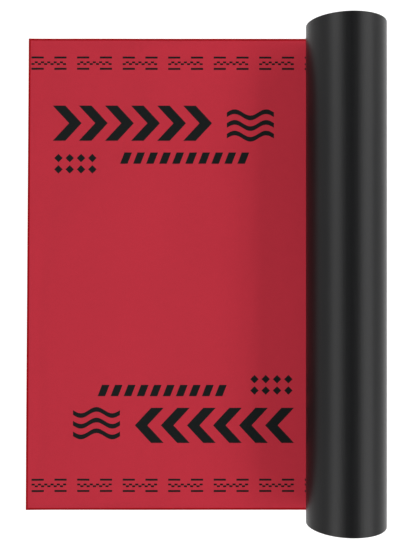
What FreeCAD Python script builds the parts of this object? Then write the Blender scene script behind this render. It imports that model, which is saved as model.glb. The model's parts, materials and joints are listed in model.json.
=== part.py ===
"""Roll of breather membrane: one length of roofing membrane, most of it wound in a tight roll.

The roll lies on its side and its outermost turn leaves it at the bottom and lies flat beside it.
X runs across the laid length, from its cut end at -X to the roll at +X. Y runs along the roll.
The origin is on the ground, in the middle of the whole piece. Sizes are in millimetres.
"""
import FreeCAD, Part
import math
import os
import Sketcher

SIZES = [
    ("roll_width", 1500, "width of the membrane, along the roll"),
    ("roll_diameter", 240, "outside of the wound roll"),
    ("bore_diameter", 76, "open middle that the roll was wound round"),
    ("membrane_thickness", 0.8, "one layer of membrane"),
    ("pressed_in", 0.1, "how far the roll's weight presses its turns into the laid layer"),
    ("unrolled_length", 990, "laid length at mid width, from the line under the roll to the cut end"),
    ("cut_skew", 10, "how much longer the laid length is at the -Y edge than at the +Y edge"),
    ("trim_allowance", 20, "stock beyond the cut end, which the trimming cut takes away"),
]

doc = FreeCAD.newDocument("breather_membrane_roll")

# ---- driving dimensions ----
sizes = doc.addObject("Spreadsheet::Sheet", "Sizes")
for row, (name, value, note) in enumerate(SIZES, start=1):
    sizes.set(f"A{row}", name)
    sizes.set(f"B{row}", str(value))
    sizes.set(f"C{row}", note)
    sizes.setAlias(f"B{row}", name)
doc.recompute()


def size(name):
    """The value of one driving dimension."""
    return float(getattr(sizes, name))


def sketch_on(body, plane, name):
    """A new sketch of this body on the origin plane with this role."""
    sketch = body.newObject("Sketcher::SketchObject", name)
    origin_plane = next(f for f in body.Origin.OriginFeatures if f.Role == plane)
    sketch.AttachmentSupport = [(origin_plane, "")]
    sketch.MapMode = "FlatFace"
    return sketch


def drive(sketch, constraint, formula):
    """Add a dimension to the sketch and tie it to the spreadsheet."""
    index = sketch.addConstraint(constraint)
    sketch.setExpression(f"Constraints[{index}]", formula)


# Sketcher's names for the parts of a curve, and for the sketch's own origin and vertical axis.
START, END, CENTRE = 1, 2, 3
ORIGIN = (-1, 1)
VERTICAL_AXIS = -2

point = FreeCAD.Vector
up = point(0, 0, 1)

membrane = doc.addObject("PartDesign::Body", "Membrane")
membrane.Label = "membrane"

# ---- side profile of the wound roll and the laid length ----
# The sketch's origin is on the line under the roll, where the outermost turn leaves the ground.
# The outline goes along the ground to that line, round the roll's far side to its top, and down its
# near side to the laid length. The near side's radius is smaller, because a spiral is one layer
# smaller after a whole turn, and so the roll ends on top of the layer it is about to lay.
profile = sketch_on(membrane, "XZ_Plane", "SideProfile")
outer_radius = size("roll_diameter") / 2
near_radius = outer_radius - (size("membrane_thickness") - size("pressed_in")) / 2
stock_length = size("unrolled_length") + size("cut_skew") / 2 + size("trim_allowance")
top = 2 * outer_radius
thickness = size("membrane_thickness")
wedge_x = -(near_radius ** 2 - (top - near_radius - thickness) ** 2) ** 0.5

ground, far_side, near_side, laid_top, stock_end = profile.addGeometry([
    Part.LineSegment(point(-stock_length, 0, 0), point(0, 0, 0)),
    Part.Arc(point(0, 0, 0), point(outer_radius, outer_radius, 0), point(0, top, 0)),
    Part.Arc(point(0, top, 0), point(-near_radius, top - near_radius, 0), point(wedge_x, thickness, 0)),
    Part.LineSegment(point(wedge_x, thickness, 0), point(-stock_length, thickness, 0)),
    Part.LineSegment(point(-stock_length, thickness, 0), point(-stock_length, 0, 0)),
], False)
profile.addConstraint([
    Sketcher.Constraint("Coincident", ground, END, *ORIGIN),
    Sketcher.Constraint("Horizontal", ground),
    Sketcher.Constraint("Coincident", ground, END, far_side, START),
    Sketcher.Constraint("PointOnObject", far_side, CENTRE, VERTICAL_AXIS),
    Sketcher.Constraint("PointOnObject", far_side, END, VERTICAL_AXIS),
    Sketcher.Constraint("Coincident", far_side, END, near_side, START),
    Sketcher.Constraint("PointOnObject", near_side, CENTRE, VERTICAL_AXIS),
    Sketcher.Constraint("Coincident", near_side, END, laid_top, START),
    Sketcher.Constraint("Horizontal", laid_top),
    Sketcher.Constraint("Coincident", laid_top, END, stock_end, START),
    Sketcher.Constraint("Vertical", stock_end),
    Sketcher.Constraint("Coincident", stock_end, END, ground, START),
])
drive(profile, Sketcher.Constraint("Radius", far_side, outer_radius), "Sizes.roll_diameter / 2")
drive(profile, Sketcher.Constraint("Radius", near_side, near_radius),
      "Sizes.roll_diameter / 2 - (Sizes.membrane_thickness - Sizes.pressed_in) / 2")
drive(profile, Sketcher.Constraint("DistanceY", stock_end, END, stock_end, START, thickness),
      "Sizes.membrane_thickness")
drive(profile, Sketcher.Constraint("DistanceX", ground, START, ground, END, stock_length),
      "Sizes.unrolled_length + Sizes.cut_skew / 2 + Sizes.trim_allowance")

wound = membrane.newObject("PartDesign::Pad", "WoundRoll")
wound.Profile = profile
wound.SideType = "Symmetric"
wound.setExpression("Length", "Sizes.roll_width")
doc.recompute()
volume_wound = membrane.Shape.Volume

# ---- the open middle, right through the roll ----
bore_circle = sketch_on(membrane, "XZ_Plane", "BoreCircle")
bore_edge = bore_circle.addGeometry(
    Part.Circle(point(0, outer_radius, 0), up, size("bore_diameter") / 2), False)
bore_circle.addConstraint(Sketcher.Constraint("PointOnObject", bore_edge, CENTRE, VERTICAL_AXIS))
drive(bore_circle, Sketcher.Constraint("DistanceY", *ORIGIN, bore_edge, CENTRE, outer_radius),
      "Sizes.roll_diameter / 2")
drive(bore_circle, Sketcher.Constraint("Diameter", bore_edge, size("bore_diameter")),
      "Sizes.bore_diameter")

bore = membrane.newObject("PartDesign::Pocket", "Bore")
bore.Profile = bore_circle
bore.Type = "ThroughAll"
bore.SideType = "Symmetric"
doc.recompute()
volume_bored = membrane.Shape.Volume

# ---- the cut end, slightly out of square ----
# The cut's line passes through the laid length at mid width. Drawn past both edges of the membrane
# by the trim allowance, it takes away all the stock beyond it.
trim_outline = sketch_on(membrane, "XY_Plane", "TrimOutline")
trim = size("trim_allowance")
half_reach = size("roll_width") / 2 + trim
lean = size("cut_skew") / size("roll_width")
cut_x = -size("unrolled_length")
waste_x = -stock_length - trim
trim_corners = [
    point(cut_x - half_reach * lean, -half_reach, 0),
    point(cut_x + half_reach * lean, half_reach, 0),
    point(waste_x, half_reach, 0),
    point(waste_x, -half_reach, 0),
]
cut_line, trim_head, waste_line, trim_foot = trim_outline.addGeometry(
    [Part.LineSegment(a, b) for a, b in zip(trim_corners, trim_corners[1:] + trim_corners[:1])], False)
trim_outline.addConstraint([
    Sketcher.Constraint("Coincident", cut_line, END, trim_head, START),
    Sketcher.Constraint("Coincident", trim_head, END, waste_line, START),
    Sketcher.Constraint("Coincident", waste_line, END, trim_foot, START),
    Sketcher.Constraint("Coincident", trim_foot, END, cut_line, START),
    Sketcher.Constraint("Horizontal", trim_head),
    Sketcher.Constraint("Horizontal", trim_foot),
    Sketcher.Constraint("Vertical", waste_line),
])
drive(trim_outline, Sketcher.Constraint("DistanceY", *ORIGIN, cut_line, END, half_reach),
      "Sizes.roll_width / 2 + Sizes.trim_allowance")
drive(trim_outline, Sketcher.Constraint("DistanceY", cut_line, START, *ORIGIN, half_reach),
      "Sizes.roll_width / 2 + Sizes.trim_allowance")
drive(trim_outline, Sketcher.Constraint("DistanceX", cut_line, START, *ORIGIN, -trim_corners[0].x),
      "Sizes.unrolled_length + (Sizes.roll_width / 2 + Sizes.trim_allowance) * Sizes.cut_skew"
      " / Sizes.roll_width")
drive(trim_outline, Sketcher.Constraint("DistanceX", cut_line, END, *ORIGIN, -trim_corners[1].x),
      "Sizes.unrolled_length - (Sizes.roll_width / 2 + Sizes.trim_allowance) * Sizes.cut_skew"
      " / Sizes.roll_width")
drive(trim_outline, Sketcher.Constraint("DistanceX", waste_line, START, *ORIGIN, -waste_x),
      "Sizes.unrolled_length + Sizes.cut_skew / 2 + 2 * Sizes.trim_allowance")

cut_end = membrane.newObject("PartDesign::Pocket", "CutEnd")
cut_end.Profile = trim_outline
cut_end.Type = "ThroughAll"
cut_end.SideType = "Symmetric"

# ---- the whole piece, with the origin under its middle ----
membrane.setExpression(
    "Placement.Base.x",
    "(Sizes.unrolled_length + Sizes.cut_skew / 2 - Sizes.roll_diameter / 2) / 2")
doc.recompute()
volume_cut = membrane.Shape.Volume

# ---- checks ----
for thing in doc.Objects:
    if "Invalid" in thing.State or "Error" in thing.State:
        raise RuntimeError(f"{thing.Name} failed: {thing.State}")
for sketch in (profile, bore_circle, trim_outline):
    if sketch.solve() != 0 or not sketch.FullyConstrained:
        raise RuntimeError(f"{sketch.Name} isn't fully constrained")
shape = membrane.Shape
if shape.isNull() or not shape.isValid() or len(shape.Solids) != 1:
    raise RuntimeError("the membrane isn't one valid solid")

bore_volume = math.pi * (size("bore_diameter") / 2) ** 2 * size("roll_width")
if abs((volume_wound - volume_bored) / bore_volume - 1) > 1e-3:
    raise RuntimeError("the bore doesn't go right through the roll")
trim_volume = (size("cut_skew") / 2 + trim) * size("roll_width") * thickness
if abs((volume_bored - volume_cut) / trim_volume - 1) > 1e-3:
    raise RuntimeError("the trimming cut doesn't take away the stock beyond it")

os.makedirs("parts", exist_ok=True)
shape.exportStep(f"parts/{membrane.Label}.step")

box = shape.BoundBox
turns = (outer_radius - size("bore_diameter") / 2) / thickness
wound_length = math.pi * (outer_radius ** 2 - (size("bore_diameter") / 2) ** 2) / thickness
print(f"box {box.XLength:.1f} x {box.YLength:.1f} x {box.ZLength:.1f} mm, "
      f"x {box.XMin:.1f}..{box.XMax:.1f}, z {box.ZMin:.1f}..{box.ZMax:.1f}")
print(f"{turns:.0f} turns hold {wound_length / 1000:.1f} m of membrane")
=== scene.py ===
"""Roll of breather membrane, seen from above: a black roll with its red face laid out beside it.

The membrane is one length of material, shown as four pieces: the laid length with the outermost
turn, the faces of the wound turns inside it, and the cut edges of those turns at each end.
Metres, +Z up, +Y along the roll.
"""
import json
import math
import bpy
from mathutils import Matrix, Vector, noise
from mathutils.geometry import delaunay_2d_cdt


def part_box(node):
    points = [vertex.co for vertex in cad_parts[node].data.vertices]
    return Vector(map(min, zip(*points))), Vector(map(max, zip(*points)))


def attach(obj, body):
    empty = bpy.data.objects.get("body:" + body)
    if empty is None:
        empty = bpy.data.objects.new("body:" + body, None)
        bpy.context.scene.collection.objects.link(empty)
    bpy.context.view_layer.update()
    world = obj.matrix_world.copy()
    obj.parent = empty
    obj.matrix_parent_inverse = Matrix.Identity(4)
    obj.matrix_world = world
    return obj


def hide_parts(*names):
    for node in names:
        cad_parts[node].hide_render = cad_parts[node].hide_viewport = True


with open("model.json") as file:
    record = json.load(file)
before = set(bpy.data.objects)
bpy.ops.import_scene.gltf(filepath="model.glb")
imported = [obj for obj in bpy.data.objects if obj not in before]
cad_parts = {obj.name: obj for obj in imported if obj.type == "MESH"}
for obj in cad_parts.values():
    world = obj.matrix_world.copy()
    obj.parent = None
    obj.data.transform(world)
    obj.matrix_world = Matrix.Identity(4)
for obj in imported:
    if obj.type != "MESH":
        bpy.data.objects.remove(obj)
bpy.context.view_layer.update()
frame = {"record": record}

# ---------------------------------------------------------------- sizes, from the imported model
node_low, node_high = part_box("membrane")
bore = next(m for m in frame["record"]["mounts"] if m["name"] == "bore")
AXIS_X = bore["pos_m"][0]
AXIS_Z = bore["pos_m"][2]
BORE_RADIUS = bore["dims"]["r_mm"] / 1000
HALF_WIDTH = bore["dims"]["length_mm"] / 2000
ROLL_RADIUS = node_high.z / 2
LAID_LENGTH = AXIS_X - node_low.x          # at the longer edge, -Y

# ---------------------------------------------------------------- sizes of the finish
PITCH = 0.0008                             # one wound turn, with the air in it
THICKNESS = 0.0007                         # the membrane itself
CUT_SKEW = 0.010                           # the laid length is this much shorter at +Y
SEGMENTS = 96                              # steps round the roll
FULL_TURN = 2 * math.pi
TURNS = (ROLL_RADIUS - BORE_RADIUS) / PITCH

EDGE_INSET = 0.0012                        # how far the wound edges stand in from the outermost one
EDGE_STRAY = 0.0010                        # how far single turns stray from that
CREVICE_DEPTH = 0.0009                     # the gap between two turns, seen at the end
LAYER_RISE = 0.10                          # where the black layer starts, as a share of the pitch
LAYER_MIDDLE = 0.48                        # where the black layer meets the red one
LAYER_FALL = 0.88                          # where the red layer ends
UNDER_OUTERMOST = 0.00005                  # clear air between the outermost turn and the next
LENGTHWISE = 24                            # faces along the roll
EDGE_BAND = 0.0062                         # the darker band along each edge

WAVE_HEIGHT = 0.0022                       # slack in the laid length
WAVE_LENGTH = 0.34
CURL_HEIGHT = 0.0045                       # the cut end's lift
CURL_REACH = 0.11


def smooth(low, high, value):
    """0 below low, 1 above high, and a smooth step between them."""
    t = min(1.0, max(0.0, (value - low) / (high - low)))
    return t * t * (3 - 2 * t)


# ---------------------------------------------------------------- materials
class Nodes:
    """A short way to write a material's node tree."""

    def __init__(self, material):
        material.use_nodes = True
        self.tree = material.node_tree
        self.shader = self.tree.nodes["Principled BSDF"]

    def add(self, kind, **settings):
        """A node of this kind, with these properties."""
        node = self.tree.nodes.new(kind)
        for name, value in settings.items():
            setattr(node, name, value)
        return node

    def link(self, source, target):
        self.tree.links.new(source, target)

    def math(self, operation, a, b, clamp=False):
        node = self.add("ShaderNodeMath", operation=operation, use_clamp=clamp)
        for socket, value in zip(node.inputs, (a, b)):
            if isinstance(value, (int, float)):
                socket.default_value = value
            else:
                self.link(value, socket)
        return node.outputs[0]

    def noise(self, vector, scale, detail=2.0, roughness=0.5):
        node = self.add("ShaderNodeTexNoise")
        node.inputs["Scale"].default_value = scale
        node.inputs["Detail"].default_value = detail
        node.inputs["Roughness"].default_value = roughness
        self.link(vector, node.inputs["Vector"])
        return node.outputs["Fac"]

    def stretched(self, vector, scale, turn=0.0):
        node = self.add("ShaderNodeMapping")
        node.inputs["Scale"].default_value = scale
        node.inputs["Rotation"].default_value = (0, 0, turn)
        self.link(vector, node.inputs["Vector"])
        return node.outputs["Vector"]

    def blend(self, share, low, high):
        """A colour between low and high."""
        node = self.add("ShaderNodeMix", data_type="RGBA")
        node.inputs["A"].default_value = (*low, 1)
        node.inputs["B"].default_value = (*high, 1)
        self.link(share, node.inputs["Factor"])
        return node.outputs["Result"]

    def spread(self, value, low, high, between=(0, 1)):
        """value, where it lies in between, spread from low to high."""
        node = self.add("ShaderNodeMapRange")
        node.inputs["From Min"].default_value, node.inputs["From Max"].default_value = between
        node.inputs["To Min"].default_value = low
        node.inputs["To Max"].default_value = high
        self.link(value, node.inputs["Value"])
        return node.outputs["Result"]


def spunbond(name, colour, roughness, specular, bump=0.5, contrast=0.16):
    """Nonwoven polypropylene: fine filaments laid at random and bonded at rows of small points.

    The fine contrast between filaments and bond points evens out at arm's length.
    """
    material = bpy.data.materials.new(name)
    n = Nodes(material)
    place = n.add("ShaderNodeTexCoord").outputs["Object"]
    # Filaments: noise drawn out along two directions.
    fibres = n.noise(n.stretched(place, (1500, 260, 1500), 0.35), 1.0, 4.0, 0.65)
    crossing = n.noise(n.stretched(place, (300, 1400, 900), 0.6), 1.0, 4.0, 0.65)
    web = n.math("MAXIMUM", n.spread(fibres, 0, 1, (0.36, 0.66)), n.spread(crossing, 0, 1, (0.38, 0.70)))
    # Bond points: a diamond grid of small pressed dots, 1.8 mm apart.
    cells = n.add("ShaderNodeTexVoronoi", feature="F1")
    cells.inputs["Scale"].default_value = 560
    cells.inputs["Randomness"].default_value = 0.10
    n.link(n.stretched(place, (1, 1, 1), math.radians(45)), cells.inputs["Vector"])
    raised = n.spread(cells.outputs["Distance"], 0, 1, (0.24, 0.38))
    # Cloudiness: the web is a little thicker in one place than in another.
    clouds = n.spread(n.noise(place, 34, 3.0, 0.55), 0, 1, (0.25, 0.75))
    drift = n.spread(n.noise(place, 4.5, 2.0, 0.5), 0, 1, (0.25, 0.75))
    tone = n.math("MULTIPLY", web, n.spread(raised, 0.55, 1.0))
    tone = n.math("ADD", n.math("MULTIPLY", tone, 0.80), n.math("MULTIPLY", clouds, 0.12))
    tone = n.math("ADD", tone, n.math("MULTIPLY", drift, 0.08), clamp=True)
    dark = [c * (1 - contrast) for c in colour]
    light = [c * (1 + contrast) for c in colour]
    n.link(n.blend(tone, dark, light), n.shader.inputs["Base Color"])
    n.link(n.spread(n.math("MULTIPLY", web, raised), roughness - 0.07, roughness + 0.09),
           n.shader.inputs["Roughness"])
    n.shader.inputs["Specular IOR Level"].default_value = specular
    relief = n.add("ShaderNodeBump")
    relief.inputs["Strength"].default_value = bump
    relief.inputs["Distance"].default_value = 0.0003
    n.link(n.math("ADD", n.math("MULTIPLY", web, 0.5), n.math("MULTIPLY", raised, 0.5)),
           relief.inputs["Height"])
    n.link(relief.outputs["Normal"], n.shader.inputs["Normal"])
    return material


def cut_edge(name, colour, roughness, specular):
    """A slit edge of one of the membrane's layers, or painted shade between turns. Its colour is even,
    and its roughness isn't.
    """
    material = bpy.data.materials.new(name)
    n = Nodes(material)
    place = n.add("ShaderNodeTexCoord").outputs["Object"]
    frayed = n.noise(place, 700, 3.0, 0.6)
    n.shader.inputs["Base Color"].default_value = (*colour, 1)
    n.shader.inputs["Specular IOR Level"].default_value = specular
    n.link(n.spread(frayed, roughness - 0.1, roughness + 0.15), n.shader.inputs["Roughness"])
    relief = n.add("ShaderNodeBump")
    relief.inputs["Strength"].default_value = 0.35
    relief.inputs["Distance"].default_value = 0.0002
    n.link(frayed, relief.inputs["Height"])
    n.link(relief.outputs["Normal"], n.shader.inputs["Normal"])
    return material


red_face = spunbond("red_face", (0.448, 0.0245, 0.0425), 0.78, 0.10)
# A darker red band along each edge of the laid length.
red_band = spunbond("red_edge_band", (0.295, 0.0015, 0.004), 0.62, 0.05)
print_ink = spunbond("print_ink", (0.0060, 0.0080, 0.0080), 0.72, 0.07, contrast=0.25)
black_face = spunbond("black_face", (0.0044, 0.0046, 0.0049), 0.33, 0.21, bump=0.25, contrast=0.25)
black_edge = cut_edge("black_edge", (0.010, 0.010, 0.011), 0.55, 0.3)
grey_edge = cut_edge("worn_black_edge", (0.030, 0.030, 0.032), 0.6, 0.3)
red_edge = cut_edge("red_edge", (0.20, 0.013, 0.020), 0.65, 0.2)
pale_red_edge = cut_edge("pale_red_edge", (0.36, 0.035, 0.045), 0.65, 0.2)
# Painted shade: the walls of the gap between wound turns get a near-black red, as if in shadow.
painted_crevice_shade = cut_edge("painted_crevice_shade", (0.012, 0.006, 0.007), 0.8, 0.1)


# ---------------------------------------------------------------- making meshes
class Mesh:
    """Vertices and faces that become one piece. Each face wears one of the materials."""

    def __init__(self, *materials):
        self.materials = materials
        self.points = []
        self.faces = []
        self.worn = []

    def point(self, *place):
        self.points.append(place)
        return len(self.points) - 1

    def face(self, corners, material):
        self.faces.append(tuple(corners))
        self.worn.append(self.materials.index(material))

    def band(self, first, second, material):
        """Faces between two rows of vertices."""
        for a, b, c, d in zip(first, first[1:], second[1:], second):
            self.face((a, b, c, d), material)

    def piece(self, name, shade_smooth=True, sharp_angle=None):
        data = bpy.data.meshes.new(name)
        data.from_pydata(self.points, [], self.faces)
        for material in self.materials:
            data.materials.append(material)
        data.polygons.foreach_set("material_index", self.worn)
        data.polygons.foreach_set("use_smooth", [shade_smooth] * len(self.faces))
        data.update()
        if sharp_angle is not None:
            data.set_sharp_from_angle(angle=sharp_angle)
        piece = bpy.data.objects.new(name, data)
        bpy.context.scene.collection.objects.link(piece)
        return piece


# ---------------------------------------------------------------- the spiral
def outer_radius(angle):
    """The membrane's outer side, wound through this angle from the line under the roll."""
    return ROLL_RADIUS - PITCH * angle / FULL_TURN


def around(angle, radius):
    """The place in X and Z, at this radius, after winding through this angle."""
    return AXIS_X + radius * math.sin(angle), AXIS_Z - radius * math.cos(angle)


def stray(angle):
    """How far the wound membrane's edges stand off along Y here, from -1 to 1."""
    turn = angle / FULL_TURN
    slow = noise.noise(Vector((1.3 * math.cos(angle), 1.3 * math.sin(angle), 0.16 * turn)))
    quick = noise.noise(Vector((0.7 * math.cos(angle), 0.7 * math.sin(angle), 1.9 * turn + 40)))
    return max(-1.0, min(1.0, 1.1 * slow + 0.7 * quick)) * smooth(1.0, 4.0, turn)


def edge_y(angle, side):
    """The Y of the membrane's edge at the end on this side, which is -1 or 1."""
    inset = EDGE_INSET * smooth(0.9, 1.6, angle / FULL_TURN)
    return side * (HALF_WIDTH - inset) + EDGE_STRAY * stray(angle)


STEP = FULL_TURN / SEGMENTS
FIRST_STEP = SEGMENTS                      # the outermost turn belongs to the laid piece
LAST_STEP = int(TURNS * SEGMENTS) - SEGMENTS


def wound_edges(side):
    """The spiral of cut edges at one end: a black and a red layer, and the gap to the next turn, whose
    walls are painted near-black as shade.
    """
    mesh = Mesh(black_edge, grey_edge, red_edge, pale_red_edge, painted_crevice_shade)
    gap, rise, middle, fall = [], [], [], []
    for step in range(FIRST_STEP, LAST_STEP + SEGMENTS + 1):
        angle = step * STEP
        radius = outer_radius(angle)
        y = edge_y(angle, side)
        x, z = around(angle, radius)
        gap.append(mesh.point(x, y - side * CREVICE_DEPTH, z))
        if step <= LAST_STEP:
            for row, share in ((rise, LAYER_RISE), (middle, LAYER_MIDDLE), (fall, LAYER_FALL)):
                x, z = around(angle, radius - share * PITCH)
                row.append(mesh.point(x, y, z))
    for i in range(len(rise) - 1):
        angle = (FIRST_STEP + i) * STEP
        worn = noise.noise(Vector((math.cos(angle), math.sin(angle), 0.37 * angle))) > 0.22
        bright = noise.noise(Vector((math.cos(angle), math.sin(angle), 0.21 * angle + 9))) > 0.1
        # The gap's walls on either side of each turn wear the painted shade.
        strips = (
            (gap, i, rise, i, painted_crevice_shade),
            (rise, i, middle, i, grey_edge if worn else black_edge),
            (middle, i, fall, i, pale_red_edge if bright else red_edge),
            (fall, i, gap, i + SEGMENTS, painted_crevice_shade),
        )
        for outer, a, inner, b, material in strips:
            corners = (outer[a], outer[a + 1], inner[b + 1], inner[b])
            mesh.face(corners if side < 0 else corners[::-1], material)
    name = "membrane_edges_near" if side < 0 else "membrane_edges_far"
    return mesh.piece(name, shade_smooth=False)


def wound_faces():
    """The wound turns' black outside and the red inside of the bore, with the innermost end."""
    mesh = Mesh(black_face, red_face, red_edge)
    rows = [-1 + 2 * k / LENGTHWISE for k in range(LENGTHWISE + 1)]

    def rail(angle, radius, set_in=0.0):
        """A row of vertices along the roll. With set_in 1 its ends lie at the crevices' depth."""
        x, z = around(angle, radius)
        ends = [edge_y(angle, side) - side * CREVICE_DEPTH * set_in for side in (-1, 1)]
        middle, reach = sum(ends) / 2, (ends[1] - ends[0]) / 2
        return [mesh.point(x, middle + reach * row, z) for row in rows]

    outside = [rail(s * STEP, outer_radius(s * STEP) - UNDER_OUTERMOST, 1)
               for s in range(FIRST_STEP, FIRST_STEP + SEGMENTS + 1)]
    inside = [rail(s * STEP, outer_radius(s * STEP) - LAYER_FALL * PITCH)
              for s in range(LAST_STEP - SEGMENTS, LAST_STEP + 1)]
    for a, b in zip(outside, outside[1:]):
        mesh.band(a, b, black_face)
    for a, b in zip(inside, inside[1:]):
        mesh.band(b, a, red_face)
    innermost = rail(LAST_STEP * STEP, outer_radius(LAST_STEP * STEP))
    mesh.band(innermost, inside[-1], red_edge)
    return mesh.piece("membrane_wound", sharp_angle=math.radians(40))


# ---------------------------------------------------------------- the print on the red face
# Every mark is a closed outline in the laid length's own plane. u runs along the laid length from
# the cut end towards the roll, and v from the middle of the width towards +Y.
DASH_LENGTH = 0.0390
DASH_PITCH = 0.07245
DASH_HEIGHT = 0.0062
DASH_START = 0.0185
LAP_LINES = (0.060, 0.0960)                # from each long edge
SCALE_HEIGHT = 0.0115                      # the chequered scale between the lap lines
SCALE_STEPS = 11
SCALE_STEP = 0.010
TURNED_SHIFT = 0.05                        # moves the turned marks towards the cut end
MARK_MARGIN = 0.001                        # print stops this far from the bands and from the roll


def bar(u, v, length, height, lean=0.0):
    """A bar with its lower left corner at u, v, which leans forward by lean."""
    return [(u, v), (u + length, v), (u + length + lean, v + height), (u + lean, v + height)]


def chevron(u, v, height, stroke, point):
    """A chevron that points along +u."""
    return [(u, v), (u + stroke, v), (u + stroke + point, v + height / 2), (u + stroke, v + height),
            (u, v + height), (u + point, v + height / 2)]


def diamond(u, v, size):
    """A diamond round u, v."""
    return [(u - size, v), (u, v - size), (u + size, v), (u, v + size)]


def wave(u, v, length, height, stroke, bends=3):
    """A wavy stripe with this many bends."""
    count = 8 * bends
    line = [(u + length * k / count, v + height * math.sin(math.pi * k * bends / count))
            for k in range(count + 1)]
    return [(a, b - stroke / 2) for a, b in line] + [(a, b + stroke / 2) for a, b in line[::-1]]


def lap_marks():
    """Two dashed lap lines, and a short chequered centimetre scale beside every second dash."""
    marks = []
    base = HALF_WIDTH - sum(LAP_LINES) / 2 - SCALE_HEIGHT / 2
    for k in range(int(LAID_LENGTH / DASH_PITCH) + 1):
        u = DASH_START + k * DASH_PITCH
        for line in LAP_LINES:
            marks.append(bar(u, HALF_WIDTH - line - DASH_HEIGHT / 2, DASH_LENGTH, DASH_HEIGHT))
        if k % 2 == 0:
            for step in range(SCALE_STEPS):
                raised = base + step % 2 * SCALE_HEIGHT / 2
                marks.append(bar(u + step * SCALE_STEP, raised, SCALE_STEP, SCALE_HEIGHT / 2))
    return marks


def banner():
    """The large marks: laying arrows, a hatched bar, a stack of waves and a lattice."""
    marks = [chevron(0.086 + 0.083 * k, 0.425, 0.112, 0.040, 0.052) for k in range(6)]
    marks += [bar(0.300 + 0.0415 * k, 0.352, 0.024, 0.036, 0.014) for k in range(10)]
    marks += [wave(0.640, 0.440 + 0.034 * k, 0.150, 0.010, 0.015) for k in range(3)]
    marks += [diamond(0.104 + 0.036 * i, 0.334 + 0.036 * j, 0.0135)
              for i in range(4) for j in range(2)]
    return marks


def all_marks():
    """The marks of both edges. Those at -Y are the same marks turned half round."""
    turn_about = LAID_LENGTH - CUT_SKEW / 2
    marks = []
    for mark in lap_marks():
        marks.append(mark)
        marks.append([(u, -v) for u, v in mark][::-1])
    for mark in banner():
        marks.append(mark)
        marks.append([(turn_about - TURNED_SHIFT - u, -v) for u, v in mark])
    return marks


# ---------------------------------------------------------------- the laid length
LAID_COLUMNS = 40                          # faces along the laid length
LAID_ROWS = 56                             # faces across it


def cut_end(v):
    """The u of the cut end at this place across the width."""
    return CUT_SKEW * (v + HALF_WIDTH) / (2 * HALF_WIDTH)


def lift(u, v):
    """How high the laid length stands off the ground. The roll's weight presses it flat."""
    from_cut = u - cut_end(v)
    free = 1 - smooth(0.45, 0.80, from_cut / LAID_LENGTH)
    place = Vector((u / WAVE_LENGTH, v / (1.7 * WAVE_LENGTH), 3.7))
    slack = max(0.0, noise.noise(place) + 0.25) * WAVE_HEIGHT
    curl = max(0.0, 1 - from_cut / CURL_REACH) ** 2
    along = 0.55 + 0.45 * noise.noise(Vector((2.1 * v, 0.0, 8.2)))
    return free * slack + CURL_HEIGHT * curl * along


def cut_in_faces(outline, inner, shapes):
    """Triangles that fill the outline, with each shape's own edges among theirs.

    Returns the corners' places, the triangles, and for each triangle its shape's number or None.
    """
    places = [Vector(p) for p in outline + inner]
    edges = [(k, (k + 1) % len(outline)) for k in range(len(outline))]
    faces = []
    for shape in shapes:
        start = len(places)
        places += [Vector(p) for p in shape]
        faces.append(list(range(start, start + len(shape))))
    found, _, triangles, _, _, origins = delaunay_2d_cdt(places, edges, faces, 0, 1e-6)
    return found, triangles, [min(origin) if origin else None for origin in origins]


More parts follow.
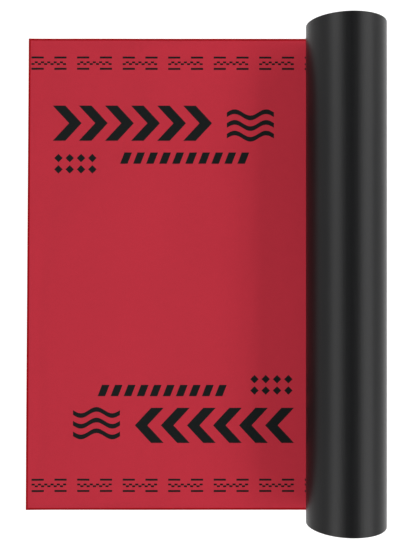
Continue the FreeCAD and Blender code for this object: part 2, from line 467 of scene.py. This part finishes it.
def laid_piece():
    """The laid length and the outermost turn, as one thin closed sheet."""
    mesh = Mesh(red_face, black_face, print_ink, red_band, red_edge)
    vs = [HALF_WIDTH * (-1 + 2 * j / LAID_ROWS) for j in range(LAID_ROWS + 1)]

    def us(v):
        start = cut_end(v)
        return [start + (LAID_LENGTH - start) * i / LAID_COLUMNS for i in range(LAID_COLUMNS + 1)]

    # The outline, from the cut end to the line under the roll, then the darker edge bands inside it.
    low, high = vs[0], vs[-1]
    outline = [(u, low) for u in us(low)]
    outline += [(LAID_LENGTH, v) for v in vs[1:-1]]
    outline += [(u, high) for u in reversed(us(high))]
    outline += [(cut_end(v), v) for v in reversed(vs[1:-1])]
    inner = [(u, v) for v in vs[1:-1] for u in us(v)[1:-1]]
    bands = [
        [(cut_end(low), low), (LAID_LENGTH, low), (LAID_LENGTH, low + EDGE_BAND),
         (cut_end(low), low + EDGE_BAND)],
        [(cut_end(high), high - EDGE_BAND), (LAID_LENGTH, high - EDGE_BAND), (LAID_LENGTH, high),
         (cut_end(high), high)],
        [(cut_end(low), low), (cut_end(low) + EDGE_BAND, low), (cut_end(high) + EDGE_BAND, high),
         (cut_end(high), high)],
    ]
    marks = [mark for mark in all_marks() if all(
        cut_end(v) + EDGE_BAND + MARK_MARGIN < u < LAID_LENGTH - MARK_MARGIN for u, v in mark)]
    places, triangles, origins = cut_in_faces(outline, inner, bands + marks)

    # Each place gives one vertex on the top and one underneath.
    top, under = [], []
    for u, v in places:
        x = AXIS_X - LAID_LENGTH + u
        z = lift(u, v)
        top.append(mesh.point(x, v, z + THICKNESS))
        under.append(mesh.point(x, v, z))
    sides = set()
    for corners, origin in zip(triangles, origins):
        a, b, c = (places[k] for k in corners)
        if (b - a).cross(c - a) < 0:
            corners = corners[::-1]
        if origin is None:
            worn = red_face
        else:
            worn = red_band if origin < len(bands) else print_ink
        mesh.face([top[k] for k in corners], worn)
        mesh.face([under[k] for k in reversed(corners)], black_face)
        sides.update(zip(corners, [*corners[1:], corners[0]]))
    rim = sorted((k, l) for k, l in sides if (l, k) not in sides)
    on_roll = {k for pair in rim for k in pair if abs(places[k].x - LAID_LENGTH) < 1e-6}
    at_roll = sorted(on_roll, key=lambda k: places[k].y)
    for k, l in rim:
        if not (k in on_roll and l in on_roll):
            mesh.face((top[k], under[k], under[l], top[l]), red_edge)

    # The outermost turn goes on from there, round the roll.
    outer = [under[k] for k in at_roll]
    inside = [top[k] for k in at_roll]
    across = [places[k].y for k in at_roll]
    for step in range(1, SEGMENTS + 1):
        angle = step * STEP
        radius = outer_radius(angle)
        x, z = around(angle, radius)
        next_outer = [mesh.point(x, v, z) for v in across]
        x, z = around(angle, radius - THICKNESS)
        next_inside = [mesh.point(x, v, z) for v in across]
        mesh.band(outer, next_outer, black_face)
        mesh.band(next_inside, inside, red_face)
        for k in (0, -1):
            corners = (inside[k], next_inside[k], next_outer[k], outer[k])
            mesh.face(corners if k else corners[::-1], black_face)
        outer, inside = next_outer, next_inside
    mesh.band(outer, inside, red_edge)
    return mesh.piece("membrane_laid", sharp_angle=math.radians(40))


near_edges = wound_edges(-1)
far_edges = wound_edges(1)
wound = wound_faces()
laid = laid_piece()
for piece, slot in ((laid, "membrane_red"), (wound, "membrane_black"),
                    (near_edges, "membrane_black"), (far_edges, "membrane_black")):
    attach(piece, "root")
    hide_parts("membrane")

# ---------------------------------------------------------------- floor and backdrop
# One round sheet: flat under the object, then up through a wide cove into a low wall.
FLOOR_RADIUS = 11.0
COVE_RADIUS = 2.5
WALL_TOP = 7.0
FLOOR_DROP = 0.0004                        # keeps the membrane's underside off the floor's surface
ROUND_STEPS = 72
COVE_STEPS = 10

section = [(FLOOR_RADIUS * share, 0.0) for share in (0.12, 0.3, 0.6, 1.0)]
section += [(FLOOR_RADIUS + COVE_RADIUS * math.sin(turn), COVE_RADIUS * (1 - math.cos(turn)))
            for turn in (math.pi / 2 * k / COVE_STEPS for k in range(1, COVE_STEPS + 1))]
section.append((FLOOR_RADIUS + COVE_RADIUS, WALL_TOP))
floor_material = bpy.data.materials.new("floor")
backdrop = Mesh(floor_material)
rings = [[backdrop.point(r * math.cos(FULL_TURN * k / ROUND_STEPS),
                         r * math.sin(FULL_TURN * k / ROUND_STEPS), z - FLOOR_DROP)
          for k in range(ROUND_STEPS)] for r, z in section]
backdrop.face(rings[0], floor_material)
for inner_ring, outer_ring in zip(rings, rings[1:]):
    backdrop.band(outer_ring + outer_ring[:1], inner_ring + inner_ring[:1], floor_material)
floor = backdrop.piece("floor")

floor_nodes = Nodes(floor_material)
floor_nodes.shader.inputs["Base Color"].default_value = (0.4, 0.4, 0.4, 1)
floor_nodes.shader.inputs["Roughness"].default_value = 1.0
floor_nodes.shader.inputs["Specular IOR Level"].default_value = 0.0
floor_nodes.shader.inputs["Emission Color"].default_value = (1, 1, 1, 1)
ray = floor_nodes.add("ShaderNodeLightPath")
seen = floor_nodes.math("MAXIMUM", ray.outputs["Is Camera Ray"], ray.outputs["Is Glossy Ray"])
seen = floor_nodes.math("MAXIMUM", seen, ray.outputs["Is Transmission Ray"])
# Near the object the floor glows a little less, and so keeps its shadow.
away = floor_nodes.add("ShaderNodeVectorMath", operation="LENGTH")
floor_nodes.link(floor_nodes.add("ShaderNodeTexCoord").outputs["Object"], away.inputs[0])
glow = floor_nodes.spread(away.outputs["Value"], 0.75, 0.98, (1.5, 6.0))
floor_nodes.link(floor_nodes.math("MULTIPLY", seen, glow),
                 floor_nodes.shader.inputs["Emission Strength"])

# ---------------------------------------------------------------- light
world = bpy.data.worlds.new("studio")
bpy.context.scene.world = world
world.use_nodes = True
world.node_tree.nodes["Background"].inputs["Color"].default_value = (1, 1, 1, 1)
world.node_tree.nodes["Background"].inputs["Strength"].default_value = 0.10


def softbox(name, place, target, size, watts):
    """A rectangular lamp that faces target. The second side of size is the level one."""
    lamp = bpy.data.lights.new(name, "AREA")
    lamp.shape = "RECTANGLE"
    lamp.size, lamp.size_y = size
    lamp.energy = watts
    box = bpy.data.objects.new(name, lamp)
    box.location = place
    box.visible_camera = False
    box.rotation_euler = (Vector(place) - Vector(target)).to_track_quat("Z", "X").to_euler()
    bpy.context.scene.collection.objects.link(box)


# Two long strips shine along the roll from above, one on each side. The one over the laid length is
# large and far off. The other stands close to the roll, so that it hardly reaches the laid length.
roll_middle = Vector((AXIS_X, 0, AXIS_Z))
for name, tilt, distance, size, watts in (("strip_left", -39, 7.0, (3.9, 12.0), 495),
                                          ("strip_right", 43, 0.60, (0.35, 3.2), 11.8)):
    turn = math.radians(tilt)              # from straight up, seen from the roll
    reach = Vector((math.sin(turn), 0, math.cos(turn))) * distance
    softbox(name, roll_middle + reach, roll_middle, size, watts)
for name, side in (("end_near", -1), ("end_far", 1)):
    softbox(name, (AXIS_X - 2.6, side * 3.7, 2.7), (0, 0, 0), (1.8, 2.8), 42)

# ---------------------------------------------------------------- camera
CAMERA_HEIGHT = 2.216
FOCAL_PER_HEIGHT = 1.274                  # focal length as a share of the picture's height
SENSOR_HEIGHT = 24.0
lens = bpy.data.cameras.new("camera")
lens.sensor_fit = "VERTICAL"
lens.sensor_height = SENSOR_HEIGHT
lens.lens = FOCAL_PER_HEIGHT * SENSOR_HEIGHT
camera = bpy.data.objects.new("camera", lens)
camera.location = (AXIS_X - 0.4245, 0.0042, CAMERA_HEIGHT)
bpy.context.scene.collection.objects.link(camera)
bpy.context.scene.camera = camera
bpy.context.scene.view_settings.view_transform = "Standard"
